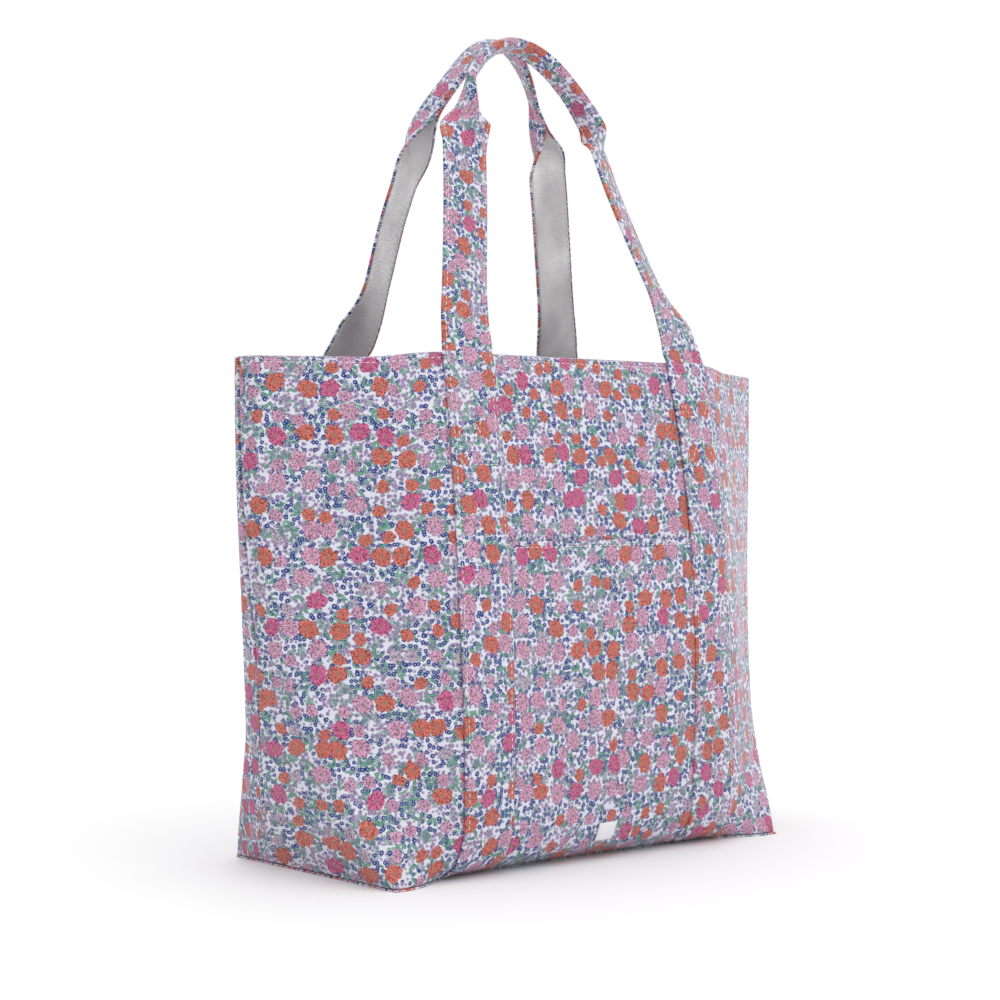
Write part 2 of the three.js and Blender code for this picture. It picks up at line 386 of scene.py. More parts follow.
MM = 1000.0


def flat_mm():
    """Where a point lies on the flat cloth, in mm."""
    return add("VectorMath", {0: add("TexCoord").outputs["UV"], "Scale": MM}, operation="SCALE")


def woven(place):
    """Warp and weft, drawn 1 mm apart, because the real yarns are too fine to show."""
    warp, weft = [add("TexWave", {"Vector": place, "Scale": 0.31}, bands_direction=way).outputs["Fac"]
                  for way in "XY"]
    return add("Math", {0: warp, 1: weft}, operation="MULTIPLY")


printed_cloth, tree = new_material("coated_floral_print_polyester")
cloth_mm = flat_mm()
wobble = add("TexNoise", {"Vector": cloth_mm, "Scale": 0.35, "Detail": 1.0}).outputs["Color"]
wobble = add("VectorMath", {0: wobble, 1: (0.5, 0.5, 0.5)}, operation="SUBTRACT")
wobbly_mm = add("VectorMath", {0: wobble, 1: (0.9, 0.9, 0.0), 2: cloth_mm}, operation="MULTIPLY_ADD")
GROUND = "#dfe0eb"


def scatter(cell, looseness, shift):
    """Cells of about `cell` mm: the place in the nearest cell, its distance and angle from the
    middle, and three random numbers for it."""
    place = add("VectorMath", {0: wobbly_mm, 1: (*shift, 0.0)}, operation="ADD")
    cells = add("TexVoronoi", {"Vector": place, "Scale": 1 / cell, "Randomness": looseness},
                voronoi_dimensions="2D")
    local = add("VectorMath", {0: place, 1: cells.outputs["Position"]}, operation="SUBTRACT")
    chance = add("SeparateColor", {"Color": cells.outputs["Color"]}).outputs
    turn = add("Math", {0: chance[0], 1: 2 * math.pi}, operation="MULTIPLY")
    turned = add("VectorRotate", {"Vector": local, "Angle": turn}, rotation_type="Z_AXIS")
    x, y, _ = add("SeparateXYZ", {0: turned}).outputs
    radius = add("VectorMath", {0: local}, operation="LENGTH").outputs["Value"]
    angle = add("Math", {0: y, 1: x}, operation="ARCTAN2")
    return x, y, radius, angle, chance


def some_of(shape, share, chance):
    """A shape shown in only a share of its cells."""
    chosen = add("Math", {0: share, 1: chance[1]}, operation="GREATER_THAN")
    return add("Math", {0: shape, 1: chosen}, operation="MULTIPLY")


def lobes(angle, count):
    """A rise and fall round a flower, once for each petal."""
    ripple = add("Math", {0: angle, 1: count / 2}, operation="MULTIPLY")
    ripple = add("Math", {0: ripple}, operation="SINE")
    return add("Math", {0: ripple}, operation="ABSOLUTE")


def blossoms(under, flowers, shown, size, petals, colours, lines, heart):
    """Many-petalled flowers over what is under them: broken rings of petal edges and short
    strokes of the pen round a small heart."""
    _, _, radius, angle, chance = flowers
    lopsided = add("Math", {0: chance[1], 1: 9.0}, operation="MULTIPLY")
    lopsided = add("Math", {0: angle, 1: 2.0, 2: lopsided}, operation="MULTIPLY_ADD")
    lopsided = add("Math", {0: lopsided}, operation="SINE")
    bent = add("Math", {0: lopsided, 1: 0.25, 2: angle}, operation="MULTIPLY_ADD")
    ripple = lobes(bent, petals)
    reach = add("Math", {0: ripple, 1: 0.11 * size, 2: 0.41 * size}, operation="MULTIPLY_ADD")
    squash = add("Math", {0: lopsided, 1: 0.09, 2: 1.0}, operation="MULTIPLY_ADD")
    reach = add("Math", {0: reach, 1: squash}, operation="MULTIPLY")
    share = add("Math", {0: radius, 1: reach}, operation="DIVIDE")
    inside = add("MapRange", {"Value": share, "From Min": 1.05, "From Max": 0.95})
    inside = add("Math", {0: inside, 1: shown}, operation="MULTIPLY")
    # Strokes run out from the heart, about half a millimetre wide and two long.
    around = add("Math", {0: angle, 1: 0.42 * size}, operation="MULTIPLY")
    outward = add("Math", {0: radius, 1: 0.55}, operation="MULTIPLY")
    each = add("Math", {0: chance[2], 1: 50.0}, operation="MULTIPLY")
    stroke = add("CombineXYZ", {0: around, 1: outward, 2: each})
    stroke = add("TexNoise", {"Vector": stroke, "Scale": 1.0, "Detail": 1.0})
    pen = add("MapRange", {"Value": stroke, "From Min": 0.51, "From Max": 0.59, "To Max": 0.92})
    edge = add("Math", {0: ripple, 1: -0.5, 2: 0.2}, operation="MULTIPLY_ADD")
    edge = add("Math", {0: share, 1: 2.0, 2: edge}, operation="MULTIPLY_ADD")
    edge = add("Math", {0: edge}, operation="FRACT")
    edge = add("MapRange", {"Value": edge, "From Min": 0.72, "From Max": 0.84, "To Max": 0.85})
    broken = add("MapRange", {"Value": stroke, "From Min": 0.38, "From Max": 0.5})
    edge = add("Math", {0: edge, 1: broken}, operation="MULTIPLY")
    rim = add("MapRange", {"Value": share, "From Min": 0.88, "From Max": 1.0, "To Max": 0.6})
    drawn = add("Math", {0: pen, 1: edge}, operation="MAXIMUM")
    drawn = add("Math", {0: drawn, 1: rim}, operation="MAXIMUM")
    tones = []
    for palette in (colours, lines):
        tone = add("ValToRGB", {"Fac": chance[2]})
        tone.color_ramp.interpolation = "CONSTANT"
        while len(tone.color_ramp.elements) < len(palette):
            tone.color_ramp.elements.new(1.0)
        for i, colour in enumerate(palette):
            tone.color_ramp.elements[i].position = i / len(palette)
            tone.color_ramp.elements[i].color = linear(colour)
        tones.append(tone)
    petal = add("Mix", {0: 0.1, 6: tones[0], 7: linear("#f2e4ea")}, data_type="RGBA")
    petal = add("Mix", {0: drawn, 6: petal.outputs[2], 7: tones[1]}, data_type="RGBA")
    middle = add("MapRange", {"Value": share, "From Min": 0.2, "From Max": 0.1})
    petal = add("Mix", {0: middle, 6: petal.outputs[2], 7: linear(heart)}, data_type="RGBA")
    return add("Mix", {0: inside, 6: under, 7: petal.outputs[2]}, data_type="RGBA").outputs[2]


def leaves(under, cell, length, width, looseness, shift, colours, keep):
    """A layer of paired pointed leaves with a pale middle line, in some of the cells."""
    x, y, _, _, chance = scatter(cell, looseness, shift)
    spread = add("Math", {0: y}, operation="ABSOLUTE")
    along = add("Math", {0: x, 1: 0.84, 2: -0.45 * length}, operation="MULTIPLY_ADD")
    along = add("Math", {0: spread, 1: 0.55, 2: along}, operation="MULTIPLY_ADD")
    off = add("Math", {0: x, 1: -0.55, 2: -0.25 * width}, operation="MULTIPLY_ADD")
    off = add("Math", {0: spread, 1: 0.84, 2: off}, operation="MULTIPLY_ADD")
    off = add("Math", {0: off}, operation="ABSOLUTE")
    share = add("Math", {0: along, 1: 0.55 * length}, operation="DIVIDE")
    room = add("Math", {0: share, 1: 2.0}, operation="POWER")
    fill = add("Math", {0: off, 1: 2 / width, 2: room}, operation="MULTIPLY_ADD")
    fill = add("MapRange", {"Value": fill, "From Min": 1.12, "From Max": 0.88})
    shown = some_of(fill, keep, chance)
    rib = add("MapRange", {"Value": off, "From Min": 0.3, "From Max": 0.06, "To Max": 0.45})
    green = add("ValToRGB", {"Fac": chance[2]})
    green.color_ramp.interpolation = "CONSTANT"
    while len(green.color_ramp.elements) < len(colours):
        green.color_ramp.elements.new(1.0)
    for i, colour in enumerate(colours):
        green.color_ramp.elements[i].position = i / len(colours)
        green.color_ramp.elements[i].color = linear(colour)
    leaf = add("Mix", {0: rib, 6: green, 7: linear("#dfe9dc")}, data_type="RGBA")
    return add("Mix", {0: shown, 6: under, 7: leaf.outputs[2]}, data_type="RGBA").outputs[2]


def ferns(under, cell, length, width, looseness, shift, colour):
    """A layer of feathered sprigs: a thin stem with slanting leaflets."""
    x, y, _, _, chance = scatter(cell, looseness, shift)
    spread = add("Math", {0: y}, operation="ABSOLUTE")
    room = add("Math", {0: x, 1: 2 / length}, operation="MULTIPLY")
    room = add("Math", {0: room, 1: 2.0}, operation="POWER")
    room = add("Math", {0: room, 1: -width / 2, 2: width / 2}, operation="MULTIPLY_ADD")
    feather = add("Math", {0: x, 1: 0.62}, operation="MULTIPLY")
    feather = add("Math", {0: spread, 1: -0.6, 2: feather}, operation="MULTIPLY_ADD")
    feather = add("Math", {0: feather}, operation="FRACT")
    leaflet = add("MapRange", {"Value": feather, "From Min": 0.7, "From Max": 0.4})
    within = add("Math", {0: room, 1: spread}, operation="SUBTRACT")
    within = add("MapRange", {"Value": within, "From Min": -0.25, "From Max": 0.25})
    leaflet = add("Math", {0: leaflet, 1: within}, operation="MULTIPLY")
    stem = add("MapRange", {"Value": spread, "From Min": 0.34, "From Max": 0.1})
    ended = add("MapRange", {"Value": room, "From Min": -0.1, "From Max": 0.1})
    stem = add("Math", {0: stem, 1: ended}, operation="MULTIPLY")
    shown = some_of(add("Math", {0: leaflet, 1: stem}, operation="MAXIMUM"), 0.55, chance)
    return add("Mix", {0: shown, 6: under, 7: linear(colour)}, data_type="RGBA").outputs[2]


def tiny_flowers(under, cell, size, looseness, shift, clustered, petals, eyes):
    """A layer of five-petalled specks with an eye: where a slow noise says so they are the
    first of two colours, and the second elsewhere."""
    _, _, radius, angle, chance = scatter(cell, looseness, shift)
    cluster = add("TexNoise", {"Vector": cloth_mm, "Scale": 0.05, "Detail": 0.0})
    cluster = add("Math", {0: chance[2], 1: 0.28, 2: cluster}, operation="MULTIPLY_ADD")
    first = add("Math", {0: cluster, 1: clustered}, operation="GREATER_THAN")
    reach = add("Math", {0: lobes(angle, 5), 1: 0.18, 2: 0.82}, operation="MULTIPLY_ADD")
    reach = add("Math", {0: reach, 1: size / 2}, operation="MULTIPLY")
    inside = add("Math", {0: reach, 1: radius}, operation="SUBTRACT")
    inside = add("MapRange", {"Value": inside, "From Min": -0.2, "From Max": 0.2})
    shown = some_of(inside, 0.88, chance)
    eye = add("MapRange", {"Value": radius, "From Min": 0.17 * size, "From Max": 0.07 * size})
    petal = add("Mix", {0: first, 6: linear(petals[1]), 7: linear(petals[0])}, data_type="RGBA")
    heart = add("Mix", {0: first, 6: linear(eyes[1]), 7: linear(eyes[0])}, data_type="RGBA")
    whole = add("Mix", {0: eye, 6: petal.outputs[2], 7: heart.outputs[2]}, data_type="RGBA")
    return add("Mix", {0: shown, 6: under, 7: whole.outputs[2]}, data_type="RGBA").outputs[2]


print_colour = linear(GROUND)
print_colour = tiny_flowers(print_colour, 3.5, 2.3, 0.8, (23.0, 9.0), 0.66,
                            ("#8f93ab", "#ae9dbd"), ("#e0e0ea", "#55496a"))
print_colour = ferns(print_colour, 12.0, 12.0, 5.6, 0.85, (3.0, 41.0), "#5f7f7d")
print_colour = leaves(print_colour, 9.5, 6.2, 2.1, 0.85, (17.0, 5.0),
                      ["#4b8f79", "#3c7f6b", "#58957f", "#6d7f84"], 0.6)
print_colour = tiny_flowers(print_colour, 4.9, 3.2, 0.7, (1.3, 2.1), 0.585,
                            ("#1f3a88", "#9a88ae"), ("#c9cee2", "#463a5c"))
print_colour = tiny_flowers(print_colour, 7.2, 3.6, 0.8, (51.0, 12.0), 0.60,
                            ("#1c357f", "#a391b4"), ("#c9cee2", "#463a5c"))
print_colour = ferns(print_colour, 17.0, 11.0, 5.4, 0.85, (83.0, 21.0), "#54807a")
print_colour = leaves(print_colour, 15.0, 7.2, 2.4, 0.85, (71.0, 35.0), ["#4b8f79", "#3c7f6b"], 0.55)
flowers = scatter(17.6, 0.62, (0.0, 0.0))
large = add("Math", {0: flowers[4][1], 1: 0.46}, operation="GREATER_THAN")
small = add("Math", {0: 1.0, 1: large}, operation="SUBTRACT")
print_colour = blossoms(print_colour, flowers, small, 9.6, 5,
                        ["#d5604a", "#d69fbe", "#c4b1c6", "#d5604a", "#d498b9"],
                        ["#74382f", "#6b4a66", "#595168", "#74382f", "#664763"], "#5b5548")
print_colour = blossoms(print_colour, flowers, large, 14.2, 7,
                        ["#d45f4a", "#d24e89", "#dc9fc0", "#d45f4a", "#daa1c1"],
                        ["#73382c", "#6f2a4c", "#714e66", "#73382c", "#6c4a62"], "#7f8064")

crinkle = add("TexNoise", {"Vector": cloth_mm, "Scale": 0.045, "Detail": 3.0})
relief = add("Bump", {"Height": woven(cloth_mm), "Strength": 0.12, "Distance": 0.0003})
relief = add("Bump", {"Height": crinkle, "Strength": 0.25, "Distance": 0.002, "Normal": relief})
gloss = add("MapRange", {"Value": crinkle, "To Min": 0.42, "To Max": 0.6})
add("OutputMaterial", {"Surface": add("BsdfPrincipled", {
    "Base Color": print_colour, "Roughness": gloss, "Specular IOR Level": 0.35,
    "Sheen Weight": 0.08, "Normal": relief})})

# --- Front and back ----------------------------------------------------------------------
# Each is one piece of the printed cloth from side seam to side seam. Its top edge is turned in
# over the lining and its foot is sewn to the base.

# Each piece is cut from its own place on the cloth, in metres along it and, for two, up it.
BASE_CUT = 2.0
HEM_CUT = (3, 0.2)
POCKET_CUT = (5.37, 0.11)
STRAP_CUT = 7.1
HANDLE_CUT = 6.1
SIDE_CUT = 2.4
CLOTH = 0.0011
WALL_LOW = 0.0018
PANEL_COLUMNS = 300
PANEL_ROWS = 132
TURN_START = 0.955
TURN_RADIUS = 0.0013
ROW_EVENNESS = 0.35
ROW_POWER = 1.6
SEAM_CROWDING = 0.3
SIDES = {"front": -1, "back": 1}


def seam_share(u):
    """A share across the cloth for a grid's own, closer together near the two seams."""
    centred = 2 * u - 1
    if abs(centred) >= 1:
        return centred
    return (1 + SEAM_CROWDING) * centred - SEAM_CROWDING * centred ** 3


def climb(up):
    """The share of a wall's height for a share of its rows, which lie closer near the foot."""
    return ROW_EVENNESS * up + (1 - ROW_EVENNESS) * up ** ROW_POWER


def wall_point(side, u, v):
    """A point on a wall's sheet: up the outside and then over the top edge."""
    share = seam_share(u)
    top = rim_height(share * HALF_CLOTH)
    if v < TURN_START:
        return on_cloth(side, share, WALL_LOW + (top - WALL_LOW) * climb(v / TURN_START))
    turn = (v - TURN_START) / (1 - TURN_START) * math.pi
    turned_in = on_cloth(side, share, top, -TURN_RADIUS * (1 - math.cos(turn)))
    return turned_in + Vector((0, 0, TURN_RADIUS * math.sin(turn)))


for name, side in SIDES.items():
    bm = bent_grid(
        PANEL_COLUMNS, PANEL_ROWS,
        lambda u, v: wall_point(side, u, v),
        lambda u, v: (seam_share(u) * HALF_CLOTH + side, HEIGHT * climb(v / TURN_START)))
    panel = new_object(f"{name}_wall", face(bm, (0, side, 0)), printed_cloth)
    thicken(panel, CLOTH, -1)
    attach(panel, "bag")
    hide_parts(f"{name}_panel")

# --- Base --------------------------------------------------------------------------------
# A rectangle of the same cloth, sewn to the walls with its edge turned out, so that a narrow
# welt with white stitches runs round the foot of the bag.

BASE_CLOTH = 0.0012
WELT = 0.0012
LOOP_STEPS = 150


def loop_round(z, out):
    """Points round the whole bag at a height, from the left seam over the front and back again."""
    shares = [-1 + 2 * i / LOOP_STEPS for i in range(LOOP_STEPS)]
    front = [on_cloth(-1, share, z, out) for share in shares]
    back = [on_cloth(1, -share, z, out) for share in shares]
    return front + back


bm = bmesh.new()
cloth = bm.loops.layers.uv.verify()
rim = [bm.verts.new((point.x, point.y, 0.0)) for point in loop_round(0.0, WELT)]
bm.faces.new(rim)
bmesh.ops.triangulate(bm, faces=bm.faces)
for each in bm.faces:
    for loop in each.loops:
        loop[cloth].uv = (loop.vert.co.x + BASE_CUT, loop.vert.co.y)
base_cloth = new_object("base_cloth", face(bm, (0, 0, -1)), printed_cloth)
thicken(base_cloth, BASE_CLOTH, -1)
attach(base_cloth, "bag")
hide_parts("base_panel")

# --- Thread ------------------------------------------------------------------------------
# Off-white polyester sewing thread, in a lock stitch of about 5 stitches to the inch where it
# shows: each stitch is a short raised bead of thread with a gap before the next.

STITCH_PITCH = 0.0048
STITCH_LENGTH = 0.0036
STITCH_WIDTH = 0.0007
STITCH_HEIGHT = 0.0006
LINE_STEP = 0.004
NORMAL_STEP = 0.001
thread, tree = new_material("off_white_polyester_thread")
thread_place = add("TexCoord").outputs["Object"]
ply = add("TexWave", {"Vector": thread_place, "Scale": 320.0}, bands_direction="DIAGONAL")
thread_bump = add("Bump", {"Height": ply.outputs["Fac"], "Strength": 0.4, "Distance": 0.0001})
thread_tone = add("TexNoise", {"Vector": thread_place, "Scale": 60.0})
thread_colour = add("Mix", {0: thread_tone, 6: linear("#faf8f6"), 7: linear("#e6e1e0")}, data_type="RGBA")
add("OutputMaterial", {"Surface": add("BsdfPrincipled", {
    "Base Color": thread_colour.outputs[2], "Roughness": 0.5, "Sheen Weight": 0.2, "Normal": thread_bump})})


def sew(bm, line, pitch=STITCH_PITCH):
    """Adds stitches along a line of (point, normal) pairs set closely enough to be straight
    between."""
    points = [p for p, _ in line]
    lengths = [0.0]
    for before, after in zip(points, points[1:]):
        lengths.append(lengths[-1] + (after - before).length)
    count = int(lengths[-1] / pitch)
    for i in range(count):
        middle = (i + 0.5) * lengths[-1] / count
        k = min(max(int(np.searchsorted(lengths, middle)), 1), len(points) - 1)
        share = (middle - lengths[k - 1]) / max(lengths[k] - lengths[k - 1], 1e-9)
        run = (points[k] - points[k - 1]).normalized()
        up = line[k][1]
        up = (up - run * up.dot(run)).normalized()
        turn = Matrix((run, up.cross(run), up)).transposed().to_4x4()
        size = Matrix.Diagonal((STITCH_LENGTH / 2, STITCH_WIDTH / 2, STITCH_HEIGHT / 2, 1.0))
        place = Matrix.Translation(points[k - 1].lerp(points[k], share))
        bmesh.ops.create_icosphere(bm, subdivisions=1, radius=1.0, matrix=place @ turn @ size)


def cloth_line(side, route, out):
    """A line on a wall through (distance along the cloth, height) points, with normals."""
    line = []
    for (s0, z0), (s1, z1) in zip(route, route[1:]):
        steps = max(2, int(math.hypot(s1 - s0, z1 - z0) / LINE_STEP))
        for i in range(steps + 1):
            s = s0 + (s1 - s0) * i / steps
            z = z0 + (z1 - z0) * i / steps
            low = on_cloth(side, s / HALF_CLOTH, z, out)
            high = on_cloth(side, s / HALF_CLOTH, z, out + NORMAL_STEP)
            line.append((low, (high - low).normalized()))
    return line


def add_stitches(name, bm, body):
    """The stitches of a line or two as one piece."""
    made = new_object(name, bm, thread)
    if body:
        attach(made, body)
    return made


# --- Hems and lining ---------------------------------------------------------------------
# Inside, a printed hem runs round the mouth over a grey lining of thin coated polyester, sewn
# to the shape of the bag.

HEM_HEIGHT = 0.030
HEM_OUT = 0.0023
HEM_DROP = 0.0012
HEM_ROWS = 12
LINING_OUT = 0.0020
LINING_CLOTH = 0.0007
LINING_LOW = 0.0046
LINING_UNDER_HEM = 0.006
LINING_POWER = 1.3
LINING_GRID = (160, 90)
lining_cloth, tree = new_material("grey_coated_polyester_lining")
lining_mm = flat_mm()
lining_creases = add("TexNoise", {"Vector": lining_mm, "Scale": 0.02, "Detail": 4.0})
lining_bump = add("Bump", {"Height": woven(lining_mm), "Strength": 0.25, "Distance": 0.0002})
lining_bump = add("Bump", {
    "Height": lining_creases, "Strength": 0.5, "Distance": 0.004, "Normal": lining_bump})
lining_grey = add("Mix", {0: lining_creases, 6: linear("#c4c0c5"), 7: linear("#a8a4aa")}, data_type="RGBA")
add("OutputMaterial", {"Surface": add("BsdfPrincipled", {
    "Base Color": lining_grey.outputs[2], "Roughness": 0.42, "Sheen Weight": 0.15, "Normal": lining_bump})})

for name, side in SIDES.items():
    def hem_height(u, v):
        return rim_height(seam_share(u) * HALF_CLOTH) - HEM_DROP - (HEM_HEIGHT - HEM_DROP) * (1 - v)

    bm = bent_grid(
        PANEL_COLUMNS, HEM_ROWS,
        lambda u, v: on_cloth(side, seam_share(u), hem_height(u, v), -HEM_OUT),
        lambda u, v: (seam_share(u) * HALF_CLOTH + HEM_CUT[0] * side, hem_height(u, v) + HEM_CUT[1]))
    hem = new_object(f"{name}_hem", face(bm, (0, -side, 0)), printed_cloth)
    thicken(hem, CLOTH, -1)
    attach(hem, "bag")
    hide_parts(f"{name}_rim_hem")

    def lining_height(u, v):
        top = rim_height(seam_share(u) * HALF_CLOTH) - HEM_HEIGHT + LINING_UNDER_HEM
        return LINING_LOW + (top - LINING_LOW) * v ** LINING_POWER

    bm = bent_grid(
        *LINING_GRID,
        lambda u, v: on_cloth(side, seam_share(u), lining_height(u, v), -LINING_OUT),
        lambda u, v: (seam_share(u) * HALF_CLOTH, lining_height(u, v)))
    lining = new_object(f"{name}_lining_sheet", face(bm, (0, -side, 0)), lining_cloth)
    thicken(lining, LINING_CLOTH, 1)
    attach(lining, "bag")
    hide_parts(f"{name}_lining")

# --- Bottom insert -----------------------------------------------------------------------
# A thin stiff board lies on the base under the lining's floor and keeps it flat.

board_low, board_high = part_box("base_board")
board_plastic, tree = new_material("matte_black_polyethylene_board")
board_place = add("TexCoord").outputs["Object"]
board_grain = add("TexNoise", {"Vector": board_place, "Scale": 900.0, "Detail": 2.0})
board_bump = add("Bump", {"Height": board_grain, "Strength": 0.3, "Distance": 0.0003})
board_black = add("Mix", {0: board_grain, 6: linear("#3d3d40"), 7: linear("#2c2c2e")}, data_type="RGBA")
add("OutputMaterial", {"Surface": add("BsdfPrincipled", {
    "Base Color": board_black.outputs[2], "Roughness": 0.65, "Normal": board_bump})})
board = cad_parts["base_board"]
board.data.materials.clear()
board.data.materials.append(board_plastic)

FLOOR_LIFT = 0.0004
FLOOR_GAP = 0.0008
FLOOR_Z = board_high.z + FLOOR_LIFT
bm = bmesh.new()
cloth = bm.loops.layers.uv.verify()
bm.faces.new([bm.verts.new((p.x, p.y, FLOOR_Z)) for p in loop_round(FLOOR_Z, -LINING_OUT - FLOOR_GAP)])
bmesh.ops.triangulate(bm, faces=bm.faces)
for each in bm.faces:
    for loop in each.loops:
        loop[cloth].uv = (loop.vert.co.x, loop.vert.co.y)
floor_lining = new_object("floor_lining", face(bm, (0, 0, 1)), lining_cloth)
thicken(floor_lining, LINING_CLOTH, 1)
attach(floor_lining, "bag")
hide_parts("base_lining")

# --- Front pocket and label --------------------------------------------------------------
# A flat slip pocket of the printed cloth fills the front between the straps. Its top edge is
# turned under and sewn, and a small blank ribbon label is sewn on near its foot.

pocket_low, pocket_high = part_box("front_pocket")
POCKET_OUT = 0.0015
POCKET_CLOTH = 0.0010
POCKET_GRID = (90, 150)
POCKET_FOLD = 0.0006
POCKET_FOLD_HEIGHT = 0.010
POCKET_DIP = 0.0007
POCKET_DIP_HEIGHT = 0.0016
POCKET_SLACK = 0.0016
POCKET_SEAM_DROP = 0.0045
POCKET_HALF = pocket_high.x
POCKET_HEIGHT = pocket_high.z


def pocket_out(u, v):
    """How far the pocket stands off the wall: a little more in its middle and at its turned top
    edge, with a dip along the stitches there."""
    below_top = (1 - v) * (POCKET_HEIGHT - pocket_low.z)
    edge_fold = POCKET_FOLD * math.exp(-(below_top / POCKET_FOLD_HEIGHT) ** 2)
    dip = POCKET_DIP * math.exp(-((below_top - POCKET_SEAM_DROP) / POCKET_DIP_HEIGHT) ** 2)
    slack = POCKET_SLACK * math.sin(math.pi * u) * math.sin(math.pi * v)
    return POCKET_OUT + edge_fold - dip + slack


def pocket_place(u, v):
    """The distance along the wall's cloth, and the height, of a point of the pocket."""
    s = POCKET_HALF * (2 * u - 1)
    z = pocket_low.z + (POCKET_HEIGHT - pocket_low.z) * v
    return s, z


bm = bent_grid(
    *POCKET_GRID,
    lambda u, v: on_cloth(-1, pocket_place(u, v)[0] / HALF_CLOTH, pocket_place(u, v)[1], pocket_out(u, v)),
    lambda u, v: (pocket_place(u, v)[0] + POCKET_CUT[0], pocket_place(u, v)[1] + POCKET_CUT[1]))
pocket = new_object("front_slip_pocket", face(bm, (0, -1, 0)), printed_cloth)
thicken(pocket, POCKET_CLOTH, -1)
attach(pocket, "bag")
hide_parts("front_pocket")

pocket_stitches = bmesh.new()
seam_height = POCKET_HEIGHT - POCKET_SEAM_DROP
pocket_seam = [(-POCKET_HALF, seam_height), (POCKET_HALF, seam_height)]
sew(pocket_stitches, cloth_line(-1, pocket_seam, POCKET_OUT + 0.0002))
add_stitches("pocket_stitches", pocket_stitches, "bag")

label_low, label_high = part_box("front_label")
LABEL_OUT = POCKET_OUT + 0.0014
LABEL_SHIFT = 0.004
LABEL_SIZE = (0.017, 0.014)
LABEL_CLOTH = 0.0006
label_ribbon, tree = new_material("white_woven_satin_ribbon")
ribs = add("TexWave", {"Vector": flat_mm(), "Scale": 0.4}, bands_direction="Y").outputs["Fac"]
ribbon_bump = add("Bump", {"Height": ribs, "Strength": 0.2, "Distance": 0.0002})
ribbon_white = add("Mix", {0: ribs, 6: linear("#fbfbfd"), 7: linear("#eeeef2")}, data_type="RGBA")
add("OutputMaterial", {"Surface": add("BsdfPrincipled", {
    "Base Color": ribbon_white.outputs[2], "Roughness": 0.4, "Sheen Weight": 0.1, "Normal": ribbon_bump})})
bm = bent_grid(
    12, 10,
    lambda u, v: on_cloth(-1, (label_low.x + LABEL_SHIFT + (label_high.x - label_low.x) * u) / HALF_CLOTH,
                          label_low.z + (label_high.z - label_low.z) * v, LABEL_OUT),
    lambda u, v: (LABEL_SIZE[0] * u, LABEL_SIZE[1] * v))
label = new_object("blank_label", face(bm, (0, -1, 0)), label_ribbon)
thicken(label, LABEL_CLOTH, -1)
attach(label, "bag")
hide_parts("front_label")

# --- Straps on the walls -----------------------------------------------------------------
# Grey webbing is covered by a band of the print with its edges turned over, and sewn flat up
# each wall from the foot to the rim, with a crossed box of stitches below the rim.

STRAP_MID = 0.0017
STRAP_EDGE_STITCH = 0.0198
STRAP_ROWS = 110
STRAP_EVENNESS = 0.5
STRAP_POWER = 1.5
STRAP_STITCH_OUT = STRAP_MID + 0.0012
STRAP_STITCH_FOOT = 0.002
COVER_CLOTH = 0.0006
# Half of the cover's section: across from the middle, and out from the webbing's middle, in mm.
COVER_SECTION = [(0, 1.35), (4, 1.36), (9, 1.36), (14, 1.34), (17.5, 1.28), (19.1, 1.1), (19.8, 0.92),
                 (20.5, 1.1), (21.8, 1.15), (22.8, 0.8), (23.2, 0.2), (23.2, -0.5), (22.9, -1.1),
                 (22.4, -1.35), (21.8, -1.3)]
SECTION_WIDTH = 0.0464
section = [(-d / MM, h / MM) for d, h in reversed(COVER_SECTION)]
section += [(d / MM, h / MM) for d, h in COVER_SECTION[1:]]
SECTION_COLUMNS = len(section) - 1
strap_scale = STRAP_WIDTH / SECTION_WIDTH
STRAP_FOOT = strap_low.z


def strap_height(v):
    """The height of a strap's row, which lie closer near the foot."""
    return STRAP_FOOT + (HEIGHT - STRAP_FOOT) * (STRAP_EVENNESS * v + (1 - STRAP_EVENNESS) * v ** STRAP_POWER)


def strap_point(side, middle, column, z):
    """A point of a strap's cover on a wall, at a column of its section and a height."""
    d, h = section[column]
    return on_cloth(side, (middle + d * strap_scale) / HALF_CLOTH, z, STRAP_MID + h)


CROSS_LOW = 0.298
CROSS_HIGH = 0.350
CROSS_HALF = 0.0165
CROSS_LIFT = 0.0003
for name, side in SIDES.items():
    for hand, sign in (("left", -1), ("right", 1)):
        middle = sign * STRAP_X
        bm = bent_grid(
            SECTION_COLUMNS, STRAP_ROWS,
            lambda u, v: strap_point(side, middle, round(u * SECTION_COLUMNS), strap_height(v)),
            lambda u, v: (section[round(u * SECTION_COLUMNS)][0] + STRAP_CUT + sign + side * SIDE_CUT,
                          strap_height(v)))
        strap = new_object(f"{name}_{hand}_strap", face(bm, (0, side, 0)), printed_cloth)
        thicken(strap, COVER_CLOTH, -1)
        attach(strap, "bag")
        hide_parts(f"{name}_strap_{hand}")
        strap_stitches = bmesh.new()
        for s in (middle - STRAP_EDGE_STITCH, middle + STRAP_EDGE_STITCH):
            seam = [(s, STRAP_FOOT + STRAP_STITCH_FOOT), (s, HEIGHT)]
            sew(strap_stitches, cloth_line(side, seam, STRAP_STITCH_OUT))
        left, right = middle - CROSS_HALF, middle + CROSS_HALF
        box_and_rise = [(left, CROSS_LOW), (right, CROSS_LOW), (right, CROSS_HIGH), (left, CROSS_HIGH),
                        (left, CROSS_LOW), (right, CROSS_HIGH)]
        for route in (box_and_rise, [(left, CROSS_HIGH), (right, CROSS_LOW)]):
            sew(strap_stitches, cloth_line(side, route, STRAP_STITCH_OUT + CROSS_LIFT))
        add_stitches(f"{name}_{hand}_strap_stitches", strap_stitches, "bag")

# --- Rim and foot stitches ---------------------------------------------------------------
# One line of stitches holds the turned rim, and one the welt round the base.

